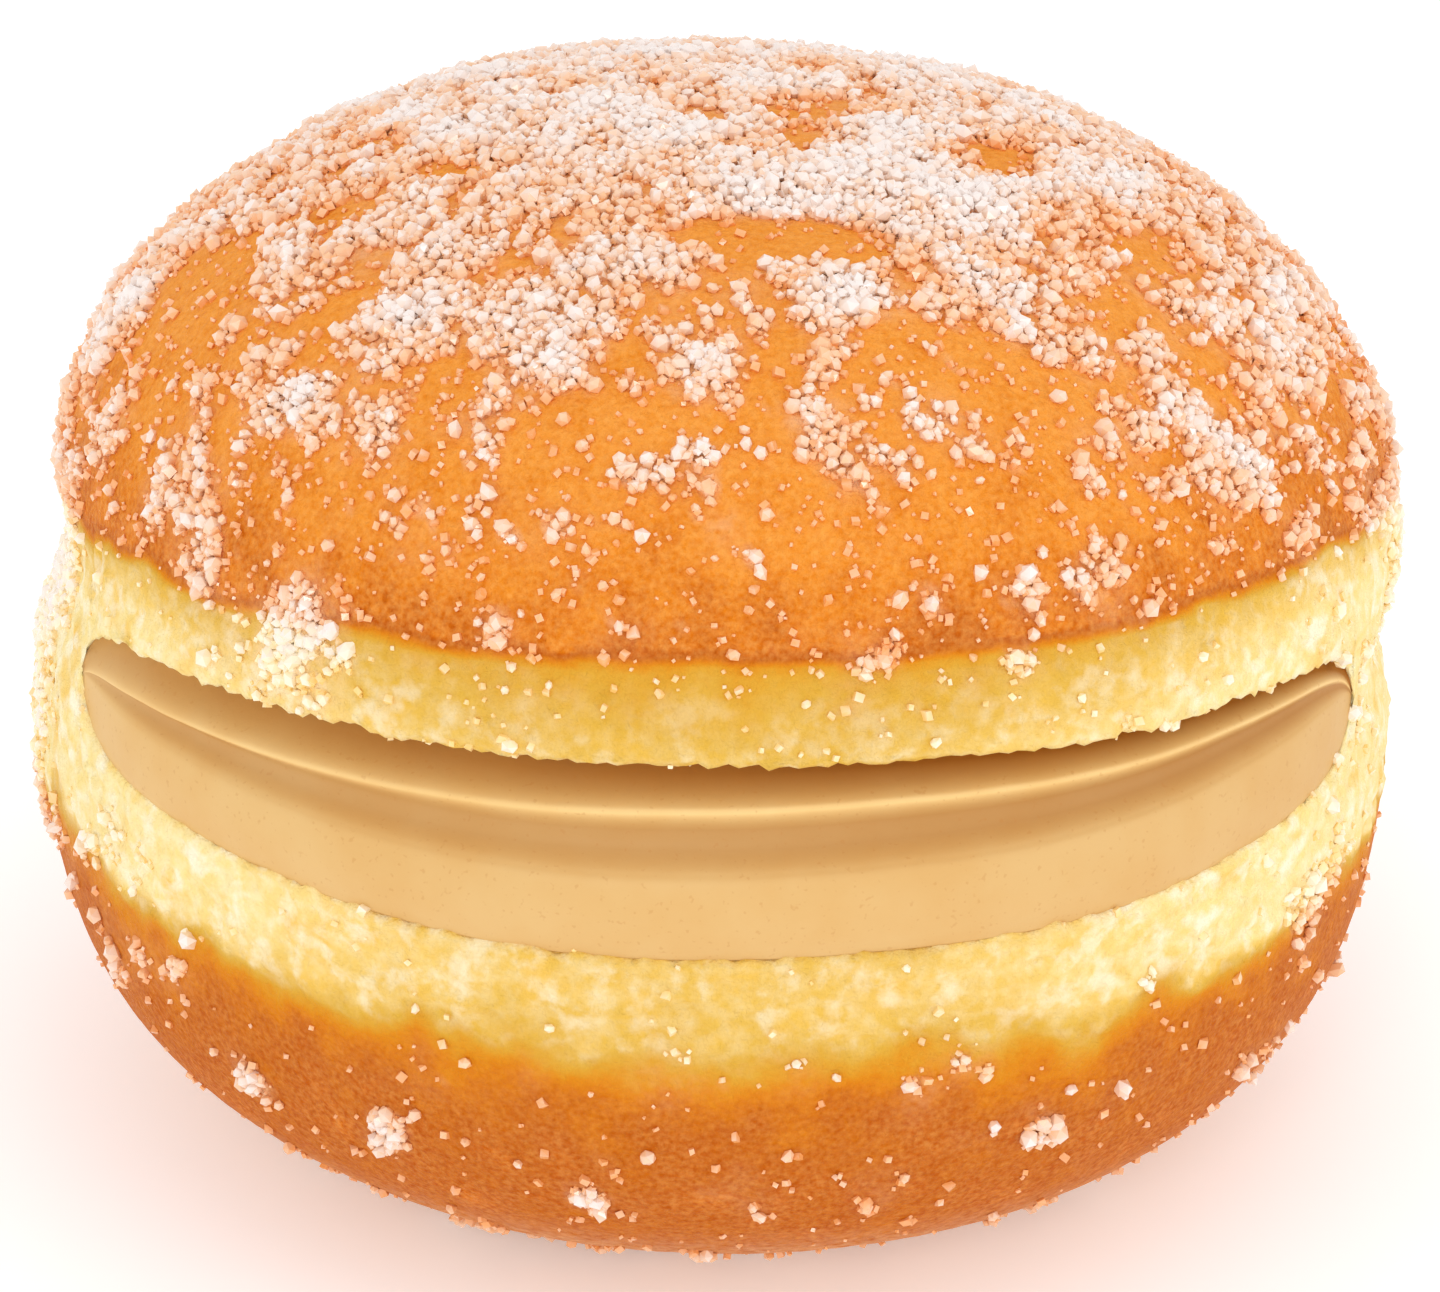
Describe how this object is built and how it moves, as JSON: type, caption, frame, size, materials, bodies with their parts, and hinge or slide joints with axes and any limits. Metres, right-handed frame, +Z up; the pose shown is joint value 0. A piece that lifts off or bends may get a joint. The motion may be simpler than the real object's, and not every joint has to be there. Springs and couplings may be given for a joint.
{
  "type": "berliner doughnut",
  "caption": "Round fried dough bun, browned top and bottom with a pale waist, cut open at the front and filled with caramel cream, its crust dusted with coarse sugar.",
  "frame": {"origin": "middle of the flat spot under the bun, which is the middle of the box's underside", "axes": "+Z up, -Y out of the mouth where the cream shows, +X to the right when facing the mouth"},
  "size_m": [0.092, 0.0907, 0.0725],
  "materials": {
    "dough_crust": "fried dough: golden brown crown and base, pale yellow crumbly waist, soft satin",
    "caramel_cream": "smooth caramel cream, soft sheen",
    "sugar": "coarse sugar crystals, translucent white"
  },
  "bodies": {
    "root": {"bun": "dough_crust", "caramel_cream": "caramel_cream"}
  },
  "joints": []
}
